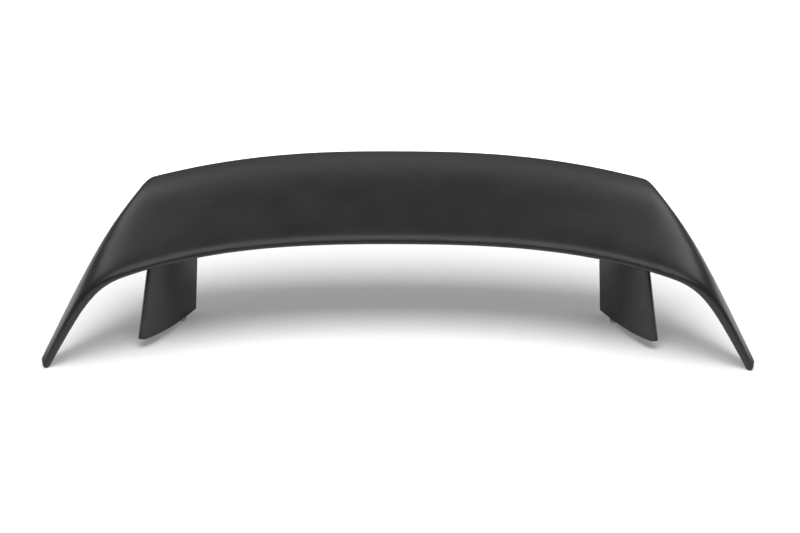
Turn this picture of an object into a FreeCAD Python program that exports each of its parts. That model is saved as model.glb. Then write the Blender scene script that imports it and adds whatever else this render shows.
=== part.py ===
import FreeCAD, Part
import math
import os
import Sketcher

# Trunk spoiler: one blow-moulded wing whose ends turn down into tapered side fins, carried on two
# raked legs of the same moulding. Each foot holds two threaded inserts, and a flange bolt is run
# into each insert. Millimetres, +X across the car, +Y to the rear, +Z up, origin under the middle
# of the moulding on the surface that it stands on.

os.makedirs("parts", exist_ok=True)
doc = FreeCAD.newDocument("trunk_spoiler")

# Driving dimensions, in millimetres and degrees.
SIZES = [
    # leading edge of the blade, followed by the centre of its round nose
    ("half_blade", 470.0, "centre line to the shoulder, where the end begins to turn down"),
    ("lead_forward", 36.8, "middle of the leading edge ahead of the origin"),
    ("lead_height", 198.0, "middle of the leading edge above the ground"),
    ("lead_sweep", 74.0, "how far forward the leading edge runs by the shoulder"),
    ("lead_drop", 29.0, "how far down the leading edge runs by the shoulder"),
    # trailing edge of the blade
    ("chord_run", 198.1, "leading to trailing edge at the middle, level"),
    ("chord_rise", 102.0, "leading to trailing edge at the middle, upward"),
    ("trail_sweep", 62.0, "how far forward the trailing edge runs by the shoulder"),
    ("trail_drop", 33.0, "how far down the trailing edge runs by the shoulder"),
    # side fins
    ("bend_reach", 62.0, "shoulder to the bend of the leading edge"),
    ("corner_reach", 24.0, "shoulder to the corner of the trailing edge"),
    ("fin_spread", 157.0, "shoulder to fin tip, outward"),
    ("tip_forward", 155.8, "fin tip ahead of the origin"),
    ("tip_height", 4.45, "centre of the fin tip above the ground"),
    ("tip_back", 26.0, "length of the fin tip, to the rear"),
    ("tip_rise", 10.0, "rise of the fin tip over its length"),
    ("fin_roll", 53.0, "how far the fin's outer face turns down from the blade's top, degrees"),
    # section of the moulding
    ("nose_radius", 9.5, "reach of the blade's nose ahead of its guide line"),
    ("nose_depth", 8.0, "blade's nose below the chord"),
    ("ramp_height", 11.5, "blade's ramp above the chord"),
    ("rear_depth", 12.0, "depth of the blade under the rear of its ramp"),
    ("edge_thickness", 4.6, "trailing edge of the blade"),
    ("band_angle", 14.0, "how far the rear band of the top falls off from the chord, degrees"),
    ("tip_nose_radius", 7.0, "half the thickness of the nose at the fin tip"),
    ("tip_crown", 9.5, "outer face above the chord at the fin tip"),
    ("tip_edge_thickness", 7.0, "rear edge at the fin tip"),
    ("fin_bow", 14.0, "how far the outer face bows out from the chord on the fin, degrees"),
    # legs
    ("foot_out", 440.5, "middle of the foot from the centre line"),
    ("foot_forward", 21.0, "middle of the foot ahead of the origin"),
    ("foot_height", 14.32, "middle of the foot above the ground"),
    ("foot_toe", 25.0, "the foot's front end turned outward, degrees"),
    ("foot_slant", 4.6, "the foot's front end raised, degrees"),
    ("leg_lean", 32.0, "top of the leg further in than the foot"),
    ("leg_back", 85.0, "middle of the leg's top behind the leading edge"),
    ("leg_rise", 3.0, "leg's top above the blade's chord, inside the blade"),
    ("foot_chord", 162.0, "length of the foot"),
    ("leg_top_chord", 158.0, "length of the leg's top along the blade"),
    ("leg_thickness", 26.0, "greatest thickness of the leg"),
    ("leg_nose", 10.0, "round nose of the leg"),
    ("leg_tail", 3.5, "round tail of the leg"),
    ("root_flare", 6.0, "widening of the leg all round where it grows out of the blade"),
    ("root_height", 16.0, "height of the flared root, from inside the blade"),
    # inserts and bolts
    ("bolt_spacing", 67.0, "distance between the two bolts of a foot"),
    ("bolt_shift", 7.5, "middle of the two bolts behind the middle of the foot"),
    ("insert_radius", 4.6, "outside of the threaded insert"),
    ("insert_length", 14.0, "length of the threaded insert"),
    ("seat_clearance", 0.05, "insert to the wall of its seat"),
    ("seat_spare", 2.0, "depth of the seat beyond the insert"),
    ("bolt_radius", 3.0, "shank of the bolt"),
    ("thread_clearance", 0.05, "shank to the bore of the insert"),
    ("bolt_engagement", 11.0, "shank inside the insert"),
    ("grip", 4.6, "free shank between foot and flange, for the panel that it clamps"),
    ("flange_radius", 6.5, "flange under the bolt's head"),
    ("flange_thickness", 1.6, "thickness of the flange"),
    ("head_flats", 10.0, "width of the bolt's hexagon across its flats"),
    ("head_height", 4.4, "hexagon below the flange"),
]

sheet = doc.addObject("Spreadsheet::Sheet", "Sizes")
for row, (alias, value, meaning) in enumerate(SIZES, start=1):
    sheet.set("A%d" % row, alias)
    sheet.set("B%d" % row, str(value))
    sheet.set("C%d" % row, meaning)
    sheet.setAlias("B%d" % row, alias)
doc.recompute()

# Form of the guide curves: powers of the blade's sweep and drop, and how straight each fin edge runs.
LEAD_SWEEP_POWER = 2.2
LEAD_DROP_POWER = 3.7
TRAIL_SWEEP_POWER = 2.4
TRAIL_DROP_POWER = 2.6
BEND_SHARE = 0.20
CORNER_SHARE = 0.20
# Stations from the middle to the shoulder, as shares of the blade, and along the fin to its tip.
BLADE_STATIONS = [0.0, 0.2, 0.38, 0.55, 0.7, 0.82, 0.92, 1.0]
FIN_STATIONS = [0.1, 0.2, 0.3, 0.4, 0.5, 0.6, 0.7, 0.79, 0.87, 0.94, 1.0]
# Shares of the fin over which the outer face turns down and the section changes from ramp to bow.
ROLL_SHARE = 0.7
SWING_SHARE = 0.6
# A cubic arc with handles of this share of its radius runs close to a half circle, and of the other to a quarter.
HALF_ROUND = 4.0 / 3.0
QUARTER_ROUND = 0.5523
# Handles of the long section curves, as shares of the chord: ramp, rear band and underside, and the fin's crown.
RAMP_END = 0.4
RAMP_HANDLE = 0.2
CREST_HANDLE = 0.3
BAND_HANDLE = 0.22
FIN_CROWN = 0.035
UNDER_REAR = 0.36
UNDER_FRONT = 0.34
# Form of the nose: slope of its top and of the ramp in degrees, and places as shares of its own sizes.
NOSE_RISE = 25.0
RAMP_SLOPE = 1.5
NOSE_TOP_BACK = 0.2
NOSE_TOP_SHARE = 0.57
NOSE_LOW_BACK = 0.3
NOSE_FRONT_LOW = 0.1
NOSE_TOP_HANDLE = (1.25, 0.5)
NOSE_UP_HANDLE = 0.45
NOSE_FRONT_HANDLE = 0.6
# The leg's section: how far its nose opens, in degrees, and its handles as shares of thickness and chord.
NOSE_OPENING = 15.0
FRONT_SWELL = 0.75
REAR_SWELL = 0.6
TAIL_HANDLE = 0.42
# Handle of the leg's nose, an arc of a half turn less the opening on both sides.
NOSE_HANDLE = 1.0230


def size(name):
    """Reference to one cell of the sheet, for an expression."""
    return "Sizes." + name


def origin_plane(body, role):
    """The body's own origin plane with this role."""
    return [f for f in body.Origin.OriginFeatures if f.Role == role][0]


def attach(body, name, placement):
    """New sketch of the body, placed from its ground plane by an expression."""
    sketch = body.newObject("Sketcher::SketchObject", name)
    sketch.AttachmentSupport = [(origin_plane(body, "XY_Plane"), "")]
    sketch.MapMode = "FlatFace"
    sketch.setExpression("AttachmentOffset", placement)
    return sketch


def closed_profile(sketch, poles):
    """Closed chain of cubic arcs: every third pole is a joint, and each pole's place is bound to sizes."""
    count = len(poles)
    spots = []
    for x, y in poles:
        spots.append(FreeCAD.Vector(sketch.evalExpression(x), sketch.evalExpression(y), 0))
    arcs = []
    for start in range(0, count, 3):
        picks = [(start + step) % count for step in range(4)]
        handles = []
        for pick in picks:
            circle = Part.Circle(spots[pick], FreeCAD.Vector(0, 0, 1), 1.0)
            handles.append(sketch.addGeometry(circle, True))
        curve = Part.BSplineCurve([spots[p] for p in picks], None, None, False, 3, None, False)
        arc = sketch.addGeometry(curve, False)
        arcs.append(arc)
        ties = [Sketcher.Constraint("Weight", handles[0], 1.0)]
        for handle in handles[1:]:
            ties.append(Sketcher.Constraint("Equal", handle, handles[0]))
        for order, handle in enumerate(handles):
            kind = "InternalAlignment:Sketcher::BSplineControlPoint"
            ties.append(Sketcher.Constraint(kind, handle, 3, arc, order))
        sketch.addConstraint(ties)
        for pick, handle in list(zip(picks, handles))[:3]:
            for axis, kind in enumerate(("DistanceX", "DistanceY")):
                place = sketch.addConstraint(
                    Sketcher.Constraint(kind, -1, 1, handle, 3, spots[pick][axis])
                )
                label = "%s_%d" % ("xy"[axis], pick)
                sketch.renameConstraint(place, label)
                sketch.setExpression("Constraints." + label, poles[pick][axis])
    for order, arc in enumerate(arcs):
        following = arcs[(order + 1) % len(arcs)]
        sketch.addConstraint(Sketcher.Constraint("Coincident", arc, 2, following, 1))


def ease(share, over):
    """Share of a change that starts and ends without a kink."""
    done = min(1.0, share / over)
    return done * done * (3.0 - 2.0 * done)


def cubic(weights_at, ends):
    """Expression for a point of a cubic curve with these four control values."""
    back = 1.0 - weights_at
    weights = (back**3, 3 * back**2 * weights_at, 3 * back * weights_at**2, weights_at**3)
    return " + ".join("%.6f * (%s)" % pair for pair in zip(weights, ends))


def fin_edge(share, start, slope, reach, straight, end):
    """Expression along a fin's edge: it leaves the blade on its slope, bends, and runs to the tip."""
    bend = "%s + %s * (%s)" % (start, reach, slope)
    along = "(%s) + %.4f * ((%s) - (%s))" % (bend, straight, end, bend)
    return cubic(share, (start, bend, along, end))


# Guide values of every station: ends of the chord, chord length and the turn of the section.
guides = doc.addObject("App::VarSet", "Guides")


def guide(name, expression):
    guides.addProperty("App::PropertyFloat", name, "Guides")
    guides.setExpression(name, expression)
    return "Guides." + name


HALF = size("half_blade")
LEAD_SHOULDER_Y = "(-%s - %s)" % (size("lead_forward"), size("lead_sweep"))
LEAD_SHOULDER_Z = "(%s - %s)" % (size("lead_height"), size("lead_drop"))
LEAD_SLOPE_Y = "-%s * %s / %s" % (LEAD_SWEEP_POWER, size("lead_sweep"), HALF)
LEAD_SLOPE_Z = "-%s * %s / %s" % (LEAD_DROP_POWER, size("lead_drop"), HALF)
TRAIL_SHOULDER_Y = "(-%s + %s - %s)" % (size("lead_forward"), size("chord_run"), size("trail_sweep"))
TRAIL_SHOULDER_Z = "(%s + %s - %s)" % (size("lead_height"), size("chord_rise"), size("trail_drop"))
TRAIL_SLOPE_Y = "-%s * %s / %s" % (TRAIL_SWEEP_POWER, size("trail_sweep"), HALF)
TRAIL_SLOPE_Z = "-%s * %s / %s" % (TRAIL_DROP_POWER, size("trail_drop"), HALF)
TIP_X = "(%s + %s)" % (HALF, size("fin_spread"))
TIP_Y = "(-%s)" % size("tip_forward")
TIP_Z = size("tip_height")
BEND = size("bend_reach")
CORNER = size("corner_reach")


def lead_y(share):
    """Leading edge behind the origin at an expression for the share of the blade."""
    return "-%s - %s * pow(%s; %s)" % (size("lead_forward"), size("lead_sweep"), share, LEAD_SWEEP_POWER)


def lead_z(share):
    return "%s - %s * pow(%s; %s)" % (size("lead_height"), size("lead_drop"), share, LEAD_DROP_POWER)


def trail_y(share):
    swept = "%s * pow(%s; %s)" % (size("trail_sweep"), share, TRAIL_SWEEP_POWER)
    return "-%s + %s - %s" % (size("lead_forward"), size("chord_run"), swept)


def trail_z(share):
    dropped = "%s * pow(%s; %s)" % (size("trail_drop"), share, TRAIL_DROP_POWER)
    return "%s + %s - %s" % (size("lead_height"), size("chord_rise"), dropped)


def station(order, lead, trail, fin_share):
    """Guide values of one station, from the two ends of its chord and its share of the fin."""
    names = {}
    for axis, expression in zip("xyz", lead):
        names["lead_" + axis] = guide("lead_%s_%d" % (axis, order), expression)
    for axis, expression in zip("xyz", trail):
        names["trail_" + axis] = guide("trail_%s_%d" % (axis, order), expression)
    run = {axis: "(%s - %s)" % (names["trail_" + axis], names["lead_" + axis]) for axis in "xyz"}
    level = "sqrt(%s^2 + %s^2)" % (run["x"], run["y"])
    names["chord"] = guide("chord_%d" % order, "sqrt(%s^2 + %s^2 + %s^2)" % (run["x"], run["y"], run["z"]))
    names["yaw"] = guide("yaw_%d" % order, "atan2(%s; %s) / 1deg" % (run["y"], run["x"]))
    names["pitch"] = guide("pitch_%d" % order, "-atan2(%s; %s) / 1deg" % (run["z"], level))
    names["roll"] = guide("roll_%d" % order, "90 + %.4f * %s" % (ease(fin_share, ROLL_SHARE), size("fin_roll")))
    names["fin"] = fin_share
    return names


stations = []
for share in BLADE_STATIONS:
    lead = ("%s * %s" % (HALF, share), lead_y(share), lead_z(share))
    trail = ("%s * %s" % (HALF, share), trail_y(share), trail_z(share))
    stations.append(station(len(stations), lead, trail, 0.0))
for share in FIN_STATIONS:
    lead = (
        fin_edge(share, HALF, "1", BEND, BEND_SHARE, TIP_X),
        fin_edge(share, LEAD_SHOULDER_Y, LEAD_SLOPE_Y, BEND, BEND_SHARE, TIP_Y),
        fin_edge(share, LEAD_SHOULDER_Z, LEAD_SLOPE_Z, BEND, BEND_SHARE, TIP_Z),
    )
    trail = (
        fin_edge(share, HALF, "1", CORNER, CORNER_SHARE, TIP_X),
        fin_edge(share, TRAIL_SHOULDER_Y, TRAIL_SLOPE_Y, CORNER, CORNER_SHARE, TIP_Y + " + " + size("tip_back")),
        fin_edge(share, TRAIL_SHOULDER_Z, TRAIL_SLOPE_Z, CORNER, CORNER_SHARE, TIP_Z + " + " + size("tip_rise")),
    )
    stations.append(station(len(stations), lead, trail, share))
doc.recompute()


def wing_section(body, name, spot, side):
    """Section of the moulding at a station: round nose, ramped top, round rear edge and underside."""
    if side > 0:
        turn = "rotation(%s; %s; %s)" % (spot["yaw"], spot["pitch"], spot["roll"])
    else:
        turn = "rotation(180 - %s; %s; 180 - %s)" % (spot["yaw"], spot["pitch"], spot["roll"])
    place = "vector(%d * %s; %s; %s)" % (side, spot["lead_x"], spot["lead_y"], spot["lead_z"])
    sketch = attach(body, name, "placement(%s; %s)" % (place, turn))
    blade = 1.0 - spot["fin"]
    swing = ease(spot["fin"], SWING_SHARE)
    chord = spot["chord"]
    blend = "(%.4f * %s + %.4f * %s)"
    nose = blend % (blade, size("nose_radius"), spot["fin"], size("tip_nose_radius"))
    low = blend % (blade, size("nose_depth"), spot["fin"], size("tip_nose_radius"))
    ramp = blend % (blade, size("ramp_height"), spot["fin"], size("tip_crown"))
    high = "(%s + %.6f * %s)" % (ramp, FIN_CROWN * swing, chord)
    edge = blend % (0.5 * blade, size("edge_thickness"), 0.5 * spot["fin"], size("tip_edge_thickness"))
    fall = "((%.4f * %s + %.4f * %s) * 1deg)" % (1.0 - swing, size("band_angle"), swing, size("fin_bow"))
    bow = "%.4f * %s * tan(%s * 1deg)" % (UNDER_REAR, chord, size("fin_bow"))
    # top: from the nose over the ramp and the rear band to the rear edge
    rise = math.radians(NOSE_RISE)
    slope = math.tan(math.radians(RAMP_SLOPE)) * (1.0 - swing)
    start_x = "-%s * %s" % (NOSE_TOP_BACK, nose)
    start_y = "%s * %s" % (NOSE_TOP_SHARE, high)
    reach = "%.4f * %s" % (NOSE_TOP_HANDLE[0] * blade + NOSE_TOP_HANDLE[1] * spot["fin"], nose)
    back = "%.4f * %s" % (NOSE_UP_HANDLE, nose)
    front_y = "-%s * %s" % (NOSE_FRONT_LOW, low)
    under_x = "%s * %s" % (NOSE_LOW_BACK, nose)
    inner = "(%.4f * (%s - %s) + %.4f * (%s - %s))" % (1.0 - swing, high, size("rear_depth"), swing, bow, edge)
    poles = [
        # ramp
        (start_x, start_y),
        ("%s + %.4f * %s" % (start_x, math.cos(rise), reach), "%s + %.4f * %s" % (start_y, math.sin(rise), reach)),
        ("%.4f * %s" % (RAMP_END - RAMP_HANDLE, chord), "%s - %.6f * %s" % (high, RAMP_HANDLE * slope, chord)),
        # rear band
        ("%.4f * %s" % (RAMP_END, chord), high),
        ("%.4f * %s" % (RAMP_END + CREST_HANDLE, chord), "%s + %.6f * %s" % (high, CREST_HANDLE * slope, chord)),
        ("%.4f * %s" % (1.0 - BAND_HANDLE, chord), "%s + %.4f * %s * tan(%s)" % (edge, BAND_HANDLE, chord, fall)),
        # rear edge
        (chord, edge),
        (chord, "%s / 3" % edge),
        (chord, "-%s / 3" % edge),
        # underside, back to the nose
        (chord, "-" + edge),
        ("%.4f * %s" % (1.0 - UNDER_REAR, chord), inner),
        ("%s + %.4f * %s" % (under_x, UNDER_FRONT, chord), "-" + low),
        # nose, from its underside up to its top
        (under_x, "-" + low),
        ("%s - %.4f * (%s + %s)" % (under_x, QUARTER_ROUND, under_x, nose), "-" + low),
        ("-" + nose, "%s - %.4f * (%s + %s)" % (front_y, QUARTER_ROUND, low, front_y)),
        ("-" + nose, front_y),
        ("-" + nose, "%s + %.4f * (%s - (%s))" % (front_y, NOSE_FRONT_HANDLE, start_y, front_y)),
        ("%s - %.4f * %s" % (start_x, math.cos(rise), back), "%s - %.4f * %s" % (start_y, math.sin(rise), back)),
    ]
    closed_profile(sketch, poles)
    return sketch


wing_blank = doc.addObject("PartDesign::Body", "wing_blank")
sections = []
last = len(stations) - 1
for order in range(last, 0, -1):
    sections.append(wing_section(wing_blank, "left_section_%d" % order, stations[order], -1))
for order in range(0, last + 1):
    sections.append(wing_section(wing_blank, "right_section_%d" % order, stations[order], 1))
doc.recompute()
wing = wing_blank.newObject("PartDesign::AdditiveLoft", "wing")
wing.Profile = sections[0]
wing.Sections = sections[1:]
wing.Ruled = False
doc.recompute()

# Legs. The foot is cut straight across, toed out at the front and slanted; the leg's top lies inside the blade.
FOOT_TURN = "rotation(90 + %s; %s; %%s)" % (size("foot_toe"), size("foot_slant"))
FOOT_X = size("foot_out")
FOOT_Y = "-" + size("foot_forward")
FOOT_Z = size("foot_height")
TOE = "%s * 1deg" % size("foot_toe")
SLANT = "%s * 1deg" % size("foot_slant")
LEG_SHARE = "((%s - %s) / %s)" % (size("foot_out"), size("leg_lean"), HALF)
leg_x = guide("leg_x", "%s - %s" % (size("foot_out"), size("leg_lean")))
leg_lead_y = guide("leg_lead_y", lead_y(LEG_SHARE))
leg_lead_z = guide("leg_lead_z", lead_z(LEG_SHARE))
leg_trail_y = guide("leg_trail_y", trail_y(LEG_SHARE))
leg_trail_z = guide("leg_trail_z", trail_z(LEG_SHARE))
leg_slope = guide("leg_slope", "(%s - %s) / (%s - %s)" % (leg_trail_z, leg_lead_z, leg_trail_y, leg_lead_y))
leg_top_y = guide("leg_top_y", "%s + %s" % (leg_lead_y, size("leg_back")))
leg_top_z = guide("leg_top_z", "%s + %s * %s + %s" % (leg_lead_z, size("leg_back"), leg_slope, size("leg_rise")))
leg_tilt = guide("leg_tilt", "atan(%s * cos(%s)) / 1deg" % (leg_slope, TOE))
doc.recompute()


def leg_section(body, name, placement, chord, flare):
    """Streamlined section: round nose in front, swelling sides and a round tail, widened by the flare."""
    sketch = attach(body, name, placement)
    nose = "(%s + %s)" % (size("leg_nose"), flare)
    tail = "(%s + %s)" % (size("leg_tail"), flare)
    thickness = "(%s + 2 * %s)" % (size("leg_thickness"), flare)
    half = "(0.5 * %s + %s)" % (chord, flare)
    opening = "%s * 1deg" % NOSE_OPENING
    nose_x = "(-%s + %s - %s * sin(%s))" % (half, nose, nose, opening)
    nose_y = "(%s * cos(%s))" % (nose, opening)
    swell = "(%s * %s)" % (FRONT_SWELL, thickness)
    front = "(%s + (%s - %s) / tan(%s))" % (nose_x, swell, nose_y, opening)
    rear = "(%s - %s - %s * %s)" % (half, tail, TAIL_HANDLE, chord)
    rear_swell = "(%s * %s)" % (REAR_SWELL, thickness)
    tail_x = "(%s - %s)" % (half, tail)
    tail_end = "(%s + %.6f * %s)" % (tail_x, HALF_ROUND, tail)
    nose_run = "(%s * %s)" % (NOSE_HANDLE, nose)
    ahead_x = "(%s - %s * cos(%s))" % (nose_x, nose_run, opening)
    ahead_y = "(%s - %s * sin(%s))" % (nose_y, nose_run, opening)
    poles = [
        (nose_x, nose_y),
        (front, swell),
        (rear, rear_swell),
        (tail_x, tail),
        (tail_end, tail),
        (tail_end, "-" + tail),
        (tail_x, "-" + tail),
        (rear, "-" + rear_swell),
        (front, "-" + swell),
        (nose_x, "-" + nose_y),
        (ahead_x, "-" + ahead_y),
        (ahead_x, ahead_y),
    ]
    closed_profile(sketch, poles)
    return sketch


foot_place = "placement(vector(%s; %s; %s); %s)" % (FOOT_X, FOOT_Y, FOOT_Z, FOOT_TURN % "0")
top_turn = "rotation(90 + %s; -%s; 0)" % (size("foot_toe"), leg_tilt)
top_place = "placement(vector(%s; %s; %s); %s)" % (leg_x, leg_top_y, leg_top_z, top_turn)
root_share = guide("root_share", "%s / (%s - %s)" % (size("root_height"), leg_top_z, FOOT_Z))
ROOT_SPOT = [
    "%s + %s * (%s - %s)" % (top, root_share, low, top)
    for top, low in ((leg_x, FOOT_X), (leg_top_y, "(%s)" % FOOT_Y), (leg_top_z, FOOT_Z))
]
root_place = "placement(vector(%s); %s)" % ("; ".join(ROOT_SPOT), top_turn)
doc.recompute()
leg_blank = doc.addObject("PartDesign::Body", "leg_blank")
foot = leg_section(leg_blank, "leg_foot", foot_place, size("foot_chord"), "0")
root = leg_section(leg_blank, "leg_root", root_place, size("leg_top_chord"), "0")
leg_top = leg_section(leg_blank, "leg_top", top_place, size("leg_top_chord"), size("root_flare"))
doc.recompute()
leg = leg_blank.newObject("PartDesign::AdditiveLoft", "leg")
leg.Profile = foot
leg.Sections = [root, leg_top]
leg.Ruled = True
doc.recompute()

# Seats of the threaded inserts, bored up into the foot.
BOLT_OFFSETS = [
    "(%s - 0.5 * %s)" % (size("bolt_shift"), size("bolt_spacing")),
    "(%s + 0.5 * %s)" % (size("bolt_shift"), size("bolt_spacing")),
]


def round_outline(sketch, radius, offset, label):
    """Circle on the foot's centre line, this far behind the middle of the foot."""
    spot = FreeCAD.Vector(sketch.evalExpression(offset), 0, 0)
    circle = sketch.addGeometry(Part.Circle(spot, FreeCAD.Vector(0, 0, 1), sketch.evalExpression(radius)), False)
    sketch.addConstraint(Sketcher.Constraint("PointOnObject", circle, 3, -1))
    along = sketch.addConstraint(Sketcher.Constraint("DistanceX", -1, 1, circle, 3, spot.x))
    sketch.renameConstraint(along, label + "_along")
    sketch.setExpression("Constraints.%s_along" % label, offset)
    wide = sketch.addConstraint(Sketcher.Constraint("Radius", circle, sketch.evalExpression(radius)))
    sketch.renameConstraint(wide, label + "_radius")
    sketch.setExpression("Constraints.%s_radius" % label, radius)


seat_sketch = attach(leg_blank, "insert_seats_outline", foot_place)
SEAT_RADIUS = "%s + %s" % (size("insert_radius"), size("seat_clearance"))
for place, offset in zip(("front", "rear"), BOLT_OFFSETS):
    round_outline(seat_sketch, SEAT_RADIUS, offset, place)
seats = leg_blank.newObject("PartDesign::Pocket", "insert_seats")
seats.Profile = seat_sketch
seats.Type = "Length"
seats.Reversed = True
seats.setExpression("Length", "%s + %s" % (size("insert_length"), size("seat_spare")))
doc.recompute()

# The other leg is the mirror image, and both are moulded in one piece with the wing.
other_leg = doc.addObject("Part::Mirroring", "other_leg")
other_leg.Source = leg_blank
other_leg.Normal = FreeCAD.Vector(1, 0, 0)
doc.recompute()
spoiler = doc.addObject("Part::MultiFuse", "spoiler_body")
spoiler.Label = "spoiler_body"
spoiler.Shapes = [wing_blank, leg_blank, other_leg]
doc.recompute()

# Threaded inserts: metal sleeves moulded into the feet, flush with their undersides.
inserts = doc.addObject("PartDesign::Body", "threaded_inserts")
inserts.Label = "threaded_inserts"
inserts.AllowCompound = True
BORE_RADIUS = "%s + %s" % (size("bolt_radius"), size("thread_clearance"))
sleeve_sketch = attach(inserts, "sleeve_outline", foot_place)
for place, offset in zip(("front", "rear"), BOLT_OFFSETS):
    round_outline(sleeve_sketch, size("insert_radius"), offset, place)
    round_outline(sleeve_sketch, BORE_RADIUS, offset, place + "_bore")
sleeves = inserts.newObject("PartDesign::Pad", "sleeves")
sleeves.Profile = sleeve_sketch
sleeves.setExpression("Length", size("insert_length"))
doc.recompute()
other_sleeves = inserts.newObject("PartDesign::Mirrored", "other_sleeves")
other_sleeves.Originals = [sleeves]
other_sleeves.MirrorPlane = (origin_plane(inserts, "YZ_Plane"), [""])
inserts.Tip = other_sleeves
doc.recompute()

# Flange bolts: shank in the insert, a free length for the clamped panel, flange and hexagon head.
bolts = doc.addObject("PartDesign::Body", "mounting_bolts")
bolts.Label = "mounting_bolts"
bolts.AllowCompound = True


def bolt_spot(offset, drop):
    """Point on a bolt's axis, given its offset along the foot and a drop below the foot."""
    x = "%s - %s * sin(%s) * cos(%s) + (%s) * sin(%s) * sin(%s)" % (FOOT_X, offset, TOE, SLANT, drop, SLANT, TOE)
    y = "%s + %s * cos(%s) * cos(%s) - (%s) * sin(%s) * cos(%s)" % (FOOT_Y, offset, TOE, SLANT, drop, SLANT, TOE)
    z = "%s - %s * sin(%s) - (%s) * cos(%s)" % (FOOT_Z, offset, SLANT, drop, SLANT)
    return "vector(%s; %s; %s)" % (x, y, z)


def bolt_turning(name, offset):
    """Shank and flange, turned about the bolt's axis."""
    sketch = attach(bolts, name + "_outline", "placement(%s; %s)" % (bolt_spot(offset, "0"), FOOT_TURN % "90"))
    shank = size("bolt_radius")
    flange = size("flange_radius")
    grip = size("grip")
    under = "(%s + %s)" % (grip, size("flange_thickness"))
    corners = [
        ("0", size("bolt_engagement")),
        (shank, size("bolt_engagement")),
        (shank, "-" + grip),
        (flange, "-" + grip),
        (flange, "-%s - 0.6 * %s" % (grip, size("flange_thickness"))),
        ("0.5 * %s" % size("head_flats"), "-" + under),
        ("0", "-" + under),
    ]
    spots = [FreeCAD.Vector(sketch.evalExpression(x), sketch.evalExpression(y), 0) for x, y in corners]
    lines = []
    for order, spot in enumerate(spots):
        lines.append(sketch.addGeometry(Part.LineSegment(spot, spots[(order + 1) % len(spots)]), False))
    for order, line in enumerate(lines):
        sketch.addConstraint(Sketcher.Constraint("Coincident", line, 2, lines[(order + 1) % len(lines)], 1))
    for order, line in enumerate(lines):
        for axis, kind in enumerate(("DistanceX", "DistanceY")):
            place = sketch.addConstraint(Sketcher.Constraint(kind, -1, 1, line, 1, spots[order][axis]))
            label = "%s_%d" % ("xy"[axis], order)
            sketch.renameConstraint(place, label)
            sketch.setExpression("Constraints." + label, corners[order][axis])
    turning = bolts.newObject("PartDesign::Revolution", name)
    turning.Profile = sketch
    turning.ReferenceAxis = (sketch, ["V_Axis"])
    turning.Angle = 360
    doc.recompute()
    return turning


def bolt_head(name, offset):
    """Hexagon below the flange."""
    drop = "%s + %s" % (size("grip"), size("flange_thickness"))
    sketch = attach(bolts, name + "_outline", "placement(%s; %s)" % (bolt_spot(offset, drop), FOOT_TURN % "0"))
    reach = "0.5 * %s / cos(30deg)" % size("head_flats")
    radius = sketch.evalExpression(reach)
    axis = FreeCAD.Vector(0, 0, 1)
    spots = [FreeCAD.Rotation(axis, 60.0 * k).multVec(FreeCAD.Vector(radius, 0, 0)) for k in range(6)]
    ring = sketch.addGeometry(Part.Circle(FreeCAD.Vector(), axis, radius), True)
    sketch.addConstraint(Sketcher.Constraint("Coincident", ring, 3, -1, 1))
    wide = sketch.addConstraint(Sketcher.Constraint("Radius", ring, radius))
    sketch.renameConstraint(wide, "corners")
    sketch.setExpression("Constraints.corners", reach)
    lines = []
    for k in range(6):
        lines.append(sketch.addGeometry(Part.LineSegment(spots[k], spots[(k + 1) % 6]), False))
    for k in range(6):
        sketch.addConstraint(Sketcher.Constraint("Coincident", lines[k], 2, lines[(k + 1) % 6], 1))
        sketch.addConstraint(Sketcher.Constraint("PointOnObject", lines[k], 1, ring))
        if k:
            sketch.addConstraint(Sketcher.Constraint("Equal", lines[k], lines[0]))
    sketch.addConstraint(Sketcher.Constraint("PointOnObject", lines[0], 1, -1))
    head = bolts.newObject("PartDesign::Pad", name)
    head.Profile = sketch
    head.Reversed = True
    head.setExpression("Length", size("head_height"))
    doc.recompute()
    return head


bolt_features = []
for place, offset in zip(("front", "rear"), BOLT_OFFSETS):
    bolt_features.append(bolt_turning(place + "_bolt", offset))
    bolt_features.append(bolt_head(place + "_head", offset))
other_bolts = bolts.newObject("PartDesign::Mirrored", "other_bolts")
other_bolts.Originals = bolt_features
other_bolts.MirrorPlane = (origin_plane(bolts, "YZ_Plane"), [""])
bolts.Tip = other_bolts
doc.recompute()

# Every object has to be sound before anything is written.
for item in doc.Objects:
    if "Invalid" in item.State or "Error" in item.State:
        raise RuntimeError("%s did not build: %s" % (item.Name, item.State))
SOLIDS = {"spoiler_body": 1, "threaded_inserts": 4, "mounting_bolts": 4}
for body in (spoiler, inserts, bolts):
    shape = body.Shape
    if shape.isNull() or not shape.isValid():
        raise RuntimeError("%s has no sound shape" % body.Label)
    if len(shape.Solids) != SOLIDS[body.Label]:
        raise RuntimeError("%s has %d solids" % (body.Label, len(shape.Solids)))
    print(body.Label, len(shape.Solids), round(shape.Volume), shape.CenterOfGravity)
for body in (spoiler, inserts, bolts):
    body.Shape.exportStep("parts/%s.step" % body.Label)
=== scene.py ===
import math

import bpy
import numpy as np
from mathutils import Matrix, Vector


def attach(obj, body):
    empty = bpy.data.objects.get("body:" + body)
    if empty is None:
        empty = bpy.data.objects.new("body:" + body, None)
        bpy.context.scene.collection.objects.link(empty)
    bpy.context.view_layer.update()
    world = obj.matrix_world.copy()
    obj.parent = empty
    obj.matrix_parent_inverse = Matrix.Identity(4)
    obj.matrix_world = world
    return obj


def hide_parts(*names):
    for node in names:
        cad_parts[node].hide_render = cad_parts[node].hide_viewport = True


# Trunk spoiler on a white studio floor: one matte black moulding, seen from the car's side and above.

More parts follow.
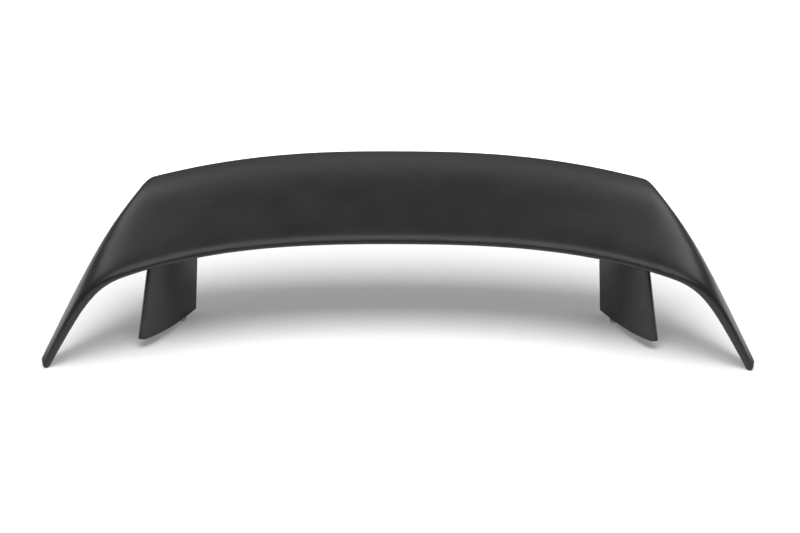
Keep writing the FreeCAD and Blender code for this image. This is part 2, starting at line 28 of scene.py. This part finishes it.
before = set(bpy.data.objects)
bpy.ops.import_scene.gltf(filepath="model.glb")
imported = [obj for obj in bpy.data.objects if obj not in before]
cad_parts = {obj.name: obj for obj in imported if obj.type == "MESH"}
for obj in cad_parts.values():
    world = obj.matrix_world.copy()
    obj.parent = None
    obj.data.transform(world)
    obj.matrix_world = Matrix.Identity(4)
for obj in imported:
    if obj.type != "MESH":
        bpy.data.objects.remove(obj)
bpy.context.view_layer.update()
scene = bpy.context.scene
scene.view_settings.view_transform = "Standard"

MM = 0.001
WHITE = "#ffffff"


def linear(code):
    """sRGB hex colour to the linear values that a shader takes."""
    levels = np.array([int(code[i:i + 2], 16) for i in (1, 3, 5)]) / 255.0
    low = levels / 12.92
    high = ((levels + 0.055) / 1.055) ** 2.4
    return tuple(np.where(levels <= 0.04045, low, high)) + (1.0,)


def node(tree, kind, settings=None, links=None):
    """Adds one node: settings by property or socket, links as socket -> (node, output)."""
    made = tree.nodes.new(kind)
    for name, value in (settings or {}).items():
        if isinstance(name, str) and hasattr(made, name):
            setattr(made, name, value)
        else:
            made.inputs[name].default_value = value
    for name, (source, output) in (links or {}).items():
        tree.links.new(source.outputs[output], made.inputs[name])
    return made


def new_material(name):
    """Empty node material and its tree."""
    material = bpy.data.materials.new(name)
    material.use_nodes = True
    material.node_tree.nodes.clear()
    return material, material.node_tree


def noise(tree, where, size_mm, detail, roughness=0.5):
    """Noise texture on object coordinates, with features of a size in millimetres."""
    settings = {"Scale": 1.0 / (size_mm * MM), "Detail": detail, "Roughness": roughness}
    return node(tree, "ShaderNodeTexNoise", settings, {"Vector": (where, "Object")})


def remap(tree, source, output, before, after):
    """Maps one range of a node's output on another, and clamps it."""
    settings = {"From Min": before[0], "From Max": before[1], "To Min": after[0], "To Max": after[1]}
    return node(tree, "ShaderNodeMapRange", settings, {"Value": (source, output)})


def times(tree, first, second):
    """Product of two outputs, each given as (node, output)."""
    return node(tree, "ShaderNodeMath", {"operation": "MULTIPLY"}, {0: first, 1: second})


def tones(tree, texture, positions, codes):
    """Colour ramp on a texture, from one hex colour at its first position to another at its second."""
    ramp = node(tree, "ShaderNodeValToRGB", links={"Fac": (texture, "Fac")})
    for element, position, code in zip(ramp.color_ramp.elements, positions, codes):
        element.position = position
        element.color = linear(code)
    return ramp


# Materials.

# Blow-moulded ABS, self-coloured black with a fine spark-eroded grain: a flat, slightly satin black
# that turns grey under a broad light, with no mirror-like spots. The grain is under half a millimetre
# on the real one and is drawn coarser, so that it still breaks up the highlights at this distance.
# The slow clouding is the uneven sheen that the cooling skin of a hollow moulding keeps. The legs, by
# which it is picked up, carry faint pale rubs.
ABS_TONES = ("#161617", "#1a1a1b")
ABS_ROUGHNESS = (0.31, 0.37)
ABS_IOR = 1.52
GRAIN_MM = 1.1
GRAIN_HEIGHT_MM = 0.2
GRAIN_STRENGTH = 0.25
CLOUD_MM = 60.0
CLOUD_RANGE = (0.3, 0.7)
RUB_MM = 26.0
RUB_RANGE = (0.5, 0.75)
RUB_TONE = "#272728"
LEG_TOP_M = 0.165
LEG_FADE_M = 0.03
LEG_OUTSIDE_M = 0.49

# Sockets of the colour mix, which go by number because several share a name.
MIX_SHARE, MIX_FIRST, MIX_SECOND, MIX_RESULT = 0, 6, 7, 2


def grained_black_abs():
    """Black plastic of the moulding, with rubs below the top of the legs and between the fins."""
    material, tree = new_material("grained_black_abs")
    where = node(tree, "ShaderNodeTexCoord")
    grain = noise(tree, where, GRAIN_MM, detail=3.0, roughness=0.6)
    cloud = noise(tree, where, CLOUD_MM, detail=4.0, roughness=0.55)
    rub = noise(tree, where, RUB_MM, detail=5.0, roughness=0.65)
    tone = tones(tree, cloud, CLOUD_RANGE, ABS_TONES)
    rubbed = remap(tree, rub, "Fac", RUB_RANGE, (0.0, 1.0))
    axes = node(tree, "ShaderNodeSeparateXYZ", links={"Vector": (where, "Object")})
    aside = node(tree, "ShaderNodeMath", {"operation": "ABSOLUTE"}, {0: (axes, "X")})
    inboard = node(tree, "ShaderNodeMath", {"operation": "LESS_THAN", 1: LEG_OUTSIDE_M},
                   {0: (aside, "Value")})
    below = remap(tree, axes, "Z", (LEG_TOP_M, LEG_TOP_M - LEG_FADE_M), (0.0, 1.0))
    on_leg = times(tree, (inboard, "Value"), (below, "Result"))
    share = times(tree, (rubbed, "Result"), (on_leg, "Value"))
    colour = node(tree, "ShaderNodeMix", {"data_type": "RGBA", MIX_SECOND: linear(RUB_TONE)},
                  {MIX_SHARE: (share, "Value"), MIX_FIRST: (tone, "Color")})
    gloss = remap(tree, cloud, "Fac", CLOUD_RANGE, ABS_ROUGHNESS)
    bump = node(tree, "ShaderNodeBump", {"Strength": GRAIN_STRENGTH, "Distance": GRAIN_HEIGHT_MM * MM},
                {"Height": (grain, "Fac")})
    skin = node(tree, "ShaderNodeBsdfPrincipled", {"IOR": ABS_IOR},
                {"Base Color": (colour, MIX_RESULT), "Roughness": (gloss, "Result"),
                 "Normal": (bump, "Normal")})
    node(tree, "ShaderNodeOutputMaterial", links={"Surface": (skin, "BSDF")})
    return material


def mottled_metal(name, patch_mm, detail, positions, codes, roughness):
    """Bare metal whose tone and dullness change from patch to patch."""
    material, tree = new_material(name)
    where = node(tree, "ShaderNodeTexCoord")
    patch = noise(tree, where, patch_mm, detail)
    tone = tones(tree, patch, positions, codes)
    gloss = remap(tree, patch, "Fac", (0.0, 1.0), roughness)
    metal = node(tree, "ShaderNodeBsdfPrincipled", {"Metallic": 1.0},
                 {"Base Color": (tone, "Color"), "Roughness": (gloss, "Result")})
    node(tree, "ShaderNodeOutputMaterial", links={"Surface": (metal, "BSDF")})
    return material


# White paper: matt. To the camera it is lifted to white, fully so away from the object, and near the
# object by a small part that leaves the shadow on it. In reflections a quarter of that lift counts.
PAPER_TONE = "#f2f2f2"
PAPER_LIFT_NEAR = 0.09
PAPER_LIFT_FAR = 1.0
PAPER_NEAR_M = 0.58
PAPER_FAR_M = 1.3
PAPER_MIRRORED = 0.25


def white_paper():
    """Floor paper, with a lift that grows with the distance from the origin."""
    material, tree = new_material("white_paper")
    where = node(tree, "ShaderNodeTexCoord")
    out = node(tree, "ShaderNodeVectorMath", {"operation": "LENGTH"}, {0: (where, "Object")})
    lift = remap(tree, out, "Value", (PAPER_NEAR_M, PAPER_FAR_M), (PAPER_LIFT_NEAR, PAPER_LIFT_FAR))
    lift.interpolation_type = "SMOOTHSTEP"
    path = node(tree, "ShaderNodeLightPath")
    mirrored = node(tree, "ShaderNodeMath", {"operation": "MULTIPLY", 1: PAPER_MIRRORED},
                    {0: (path, "Is Glossy Ray")})
    seen = node(tree, "ShaderNodeMath", {"operation": "MAXIMUM"},
                {0: (path, "Is Camera Ray"), 1: (mirrored, "Value")})
    level = times(tree, (seen, "Value"), (lift, "Result"))
    matt = node(tree, "ShaderNodeBsdfDiffuse", {"Color": linear(PAPER_TONE)})
    glow = node(tree, "ShaderNodeEmission", {"Color": linear(WHITE)}, {"Strength": (level, "Value")})
    both = node(tree, "ShaderNodeAddShader", links={0: (matt, "BSDF"), 1: (glow, "Emission")})
    node(tree, "ShaderNodeOutputMaterial", links={"Surface": (both, "Shader")})
    return material


ABS = grained_black_abs()

# Zinc-plated steel: bright and neutral, with the dull patches that plating in a barrel leaves.
ZINC = mottled_metal("bright_zinc_steel", patch_mm=4.0, detail=3.0, positions=(0.35, 0.7),
                     codes=("#b4b6b4", "#d6d7d4"), roughness=(0.2, 0.4))

# Turned brass: warm yellow metal, a little duller in places.
BRASS = mottled_metal("turned_brass", patch_mm=1.5, detail=2.0, positions=(0.3, 0.7),
                      codes=("#a98a4e", "#c9aa69"), roughness=(0.25, 0.4))


def dress(name, material):
    """Gives a CAD node its material."""
    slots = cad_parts[name].data.materials
    slots.clear()
    slots.append(material)


dress("spoiler_body", ABS)
dress("threaded_inserts", BRASS)
dress("mounting_bolts", ZINC)

# Mounting bolts: M6 with a flange and a hexagon, two to a foot, standing square to the foot. Sizes in
# millimetres, and rows and points by number.
FOOT = (440.5, -21.0, 14.32)
FOOT_TOE = math.radians(25.0)
FOOT_SLANT = math.radians(4.6)
BOLT_OFFSETS = (-26.0, 41.0)
SHANK_RADIUS = 3.0
SHANK_IN_INSERT = 11.0
GRIP = 4.6
THREAD_PITCH = 1.0
THREAD_DEPTH = 0.55
THREAD_ROWS = 8
FLANGE_RADIUS = 6.5
FLANGE_THICKNESS = 1.6
FLANGE_ROUND = 0.5
FLANGE_ROWS = 13
HEAD_FLATS = 10.0
HEAD_HEIGHT = 4.4
HEAD_CHAMFER = 0.7
CHAMFER_INWARD = 1.6
CHAMFER_ROWS = 9
TURN_POINTS = 72
NO_FLATS = 100.0


def bolt_surface():
    """Bolt about its own axis, as radius and drop on a grid of profile row and angle.

    Every row has a drop below the foot and a round radius, and the hexagon's rows also a half width
    across flats: the radius at an angle is the smaller of the round one and half width / cos(angle to
    the nearest flat). On the shank the radius is reduced by the thread's depth times a triangle wave
    of drop / pitch - angle / full turn, which runs round it as a right-handed helix."""
    shank_rows = int((SHANK_IN_INSERT + GRIP) / THREAD_PITCH * THREAD_ROWS)
    shank_drop = np.linspace(-SHANK_IN_INSERT, GRIP, shank_rows)
    bend = np.linspace(0.0, math.pi, FLANGE_ROWS)
    flange_drop = GRIP + 0.5 * FLANGE_THICKNESS * (1.0 - np.cos(bend))
    flange_round = FLANGE_RADIUS - FLANGE_ROUND * (1.0 - np.sin(bend))
    flange_low = GRIP + FLANGE_THICKNESS
    head_low = flange_low + HEAD_HEIGHT
    corner = HEAD_FLATS / math.sqrt(3.0)
    chamfer = np.linspace(0.0, 1.0, CHAMFER_ROWS)
    head_drop = np.concatenate([[flange_low, head_low - HEAD_CHAMFER],
                                head_low - HEAD_CHAMFER * (1.0 - chamfer)])
    head_round = np.concatenate([[corner, corner], corner - CHAMFER_INWARD * HEAD_CHAMFER * chamfer])
    drop = np.concatenate([[-SHANK_IN_INSERT], shank_drop, flange_drop, head_drop, [head_low]])
    outer = np.concatenate([[0.0], np.full(shank_rows, SHANK_RADIUS), flange_round, head_round, [0.0]])
    head_rows = head_drop.size + 1
    flats = np.concatenate([np.full(1 + shank_rows + FLANGE_ROWS, NO_FLATS),
                            np.full(head_rows, 0.5 * HEAD_FLATS)])
    threaded = np.concatenate([[0.0], np.ones(shank_rows), np.zeros(FLANGE_ROWS + head_rows)])
    angle = np.linspace(0.0, 2.0 * math.pi, TURN_POINTS, endpoint=False)
    to_flat = np.mod(angle, math.pi / 3.0) - math.pi / 6.0
    radius = np.minimum(outer[:, None], flats[:, None] / np.cos(to_flat)[None, :])
    turn = np.mod(drop[:, None] / THREAD_PITCH - angle[None, :] / (2.0 * math.pi), 1.0)
    radius = radius - threaded[:, None] * THREAD_DEPTH * np.abs(2.0 * turn - 1.0)
    return radius, np.broadcast_to(drop[:, None], radius.shape), angle


def bolt_frame(side, offset):
    """Where a bolt's axis leaves the foot, and its directions along the foot, across it, and down."""
    sin_toe, cos_toe = math.sin(FOOT_TOE), math.cos(FOOT_TOE)
    sin_slant, cos_slant = math.sin(FOOT_SLANT), math.cos(FOOT_SLANT)
    along = np.array([-side * sin_toe * cos_slant, cos_toe * cos_slant, -sin_slant])
    down = np.array([side * sin_toe * sin_slant, -cos_toe * sin_slant, -cos_slant])
    foot = np.array([side * FOOT[0], FOOT[1], FOOT[2]])
    return foot + offset * along, along, np.cross(down, along), down


def grid_faces(rows, columns, first):
    """Four-cornered faces of a grid that closes on itself across its columns, from a first vertex."""
    row, column = np.meshgrid(np.arange(rows - 1), np.arange(columns), indexing="ij")
    after = (column + 1) % columns
    here, below = row * columns, (row + 1) * columns
    corners = [here + column, here + after, below + after, below + column]
    return np.stack(corners, axis=-1).reshape(-1, 4) + first


def mounting_bolts():
    """The four bolts: the same surface, set at each place by its three directions."""
    radius, drop, angle = bolt_surface()
    rows, columns = radius.shape
    spots, faces = [], []
    for side in (-1.0, 1.0):
        for offset in BOLT_OFFSETS:
            place, along, across, down = bolt_frame(side, offset)
            ring = np.cos(angle)[None, :, None] * along + np.sin(angle)[None, :, None] * across
            points = place + radius[:, :, None] * ring + drop[:, :, None] * down
            faces.append(grid_faces(rows, columns, rows * columns * len(spots)))
            spots.append(points.reshape(-1, 3) * MM)
    shape = bpy.data.meshes.new("bolts_threaded")
    shape.from_pydata(np.concatenate(spots).tolist(), [], np.concatenate(faces).tolist())
    shape.validate()
    shape.update()
    piece = bpy.data.objects.new("bolts_threaded", shape)
    piece.data.materials.append(ZINC)
    scene.collection.objects.link(piece)
    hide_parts("mounting_bolts")
    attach(piece, "root")


mounting_bolts()

# Stage: a level white floor, a room, a key lamp overhead, and softboxes behind, in front and at both
# sides of the wing. The key lights matt surfaces alone and throws the shadow under the wing, and the
# softboxes show as sheen alone. The gap between the front and the rear one leaves the ramp dark and
# lights the rear band and the nose. The room is dim in reflections, brighter on matt surfaces, and
# white to the camera.
FLOOR_HALF_M = 14.0
corners = np.array([(-1, -1, 0), (1, -1, 0), (1, 1, 0), (-1, 1, 0)]) * FLOOR_HALF_M
sheet = bpy.data.meshes.new("floor")
sheet.from_pydata(corners.tolist(), [], [(0, 1, 2, 3)])
floor = bpy.data.objects.new("floor", sheet)
floor.data.materials.append(white_paper())
scene.collection.objects.link(floor)

ROOM_SHEEN = 0.12
ROOM_MATT = 0.42
ROOM_SEEN = 1.0
world = bpy.data.worlds.new("studio")
world.use_nodes = True
room = world.node_tree
room.nodes.clear()
scene.world = world
room_path = node(room, "ShaderNodeLightPath")
room_light = remap(room, room_path, "Is Diffuse Ray", (0.0, 1.0), (ROOM_SHEEN, ROOM_MATT))
room_level = node(room, "ShaderNodeMapRange", {"To Max": ROOM_SEEN},
                  {"Value": (room_path, "Is Camera Ray"), "To Min": (room_light, "Result")})
room_walls = node(room, "ShaderNodeBackground", {"Color": linear(WHITE)},
                  {"Strength": (room_level, "Result")})
node(room, "ShaderNodeOutputWorld", links={"Surface": (room_walls, "Background")})


def lamp_panel(name, place, target, width, length, power, sheen):
    """Rectangular area light in metres and watts, turned to face a target, for sheen or matt light."""
    lamp = bpy.data.lights.new(name, "AREA")
    lamp.shape = "RECTANGLE"
    lamp.size = width
    lamp.size_y = length
    lamp.energy = power
    light = bpy.data.objects.new(name, lamp)
    light.location = place
    light.visible_diffuse = not sheen
    light.visible_glossy = sheen
    away = Vector(target) - Vector(place)
    light.rotation_euler = away.to_track_quat("-Z", "Y").to_euler()
    scene.collection.objects.link(light)


WING = (0.0, 0.05, 0.22)
RIGHT_FIN = (0.55, 0.0, 0.2)
LEFT_FIN = (-0.55, 0.0, 0.2)
FLOOR_MIDDLE = (0.0, 0.0, 0.0)
lamp_panel("key", (0.0, -0.6, 2.5), FLOOR_MIDDLE, width=2.4, length=1.6, power=64.0, sheen=False)
lamp_panel("rear", (0.0, 1.22, 2.02), WING, width=3.0, length=1.0, power=8.0, sheen=True)
lamp_panel("front", (0.0, -1.05, 1.85), WING, width=3.0, length=1.1, power=22.0, sheen=True)
lamp_panel("right", (1.75, 0.75, 1.55), RIGHT_FIN, width=1.2, length=1.2, power=8.0, sheen=True)
lamp_panel("left", (-1.75, 0.75, 1.55), LEFT_FIN, width=1.2, length=1.2, power=6.5, sheen=True)

# Camera: on the car's side of the wing, looking down on it. The eye is in metres, angles are in
# degrees, and the focal length and the shift of the middle are in pixels of a frame of this width.
FRAME_WIDTH = 800.0
FOCAL_PIXELS = 832.0
MIDDLE_LEFT_PIXELS = 2.8
SENSOR_MM = 36.0
CLIP_END_M = 60.0
EYE = (-0.0077, -1.4194, 0.7996)
PITCH_DOWN = 25.383
ROLL = 0.316
YAW = -0.204


def turned(degrees, axis):
    """Rotation about one axis."""
    return Matrix.Rotation(math.radians(degrees), 4, axis)


lens = bpy.data.cameras.new("camera")
lens.sensor_width = SENSOR_MM
lens.lens = FOCAL_PIXELS / FRAME_WIDTH * SENSOR_MM
lens.shift_x = MIDDLE_LEFT_PIXELS / FRAME_WIDTH
lens.clip_end = CLIP_END_M
camera = bpy.data.objects.new("camera", lens)
tilt = turned(90.0 - PITCH_DOWN, "X") @ turned(ROLL, "Z")
camera.matrix_world = Matrix.Translation(EYE) @ turned(YAW, "Z") @ tilt
scene.collection.objects.link(camera)
scene.camera = camera

bpy.context.view_layer.update()
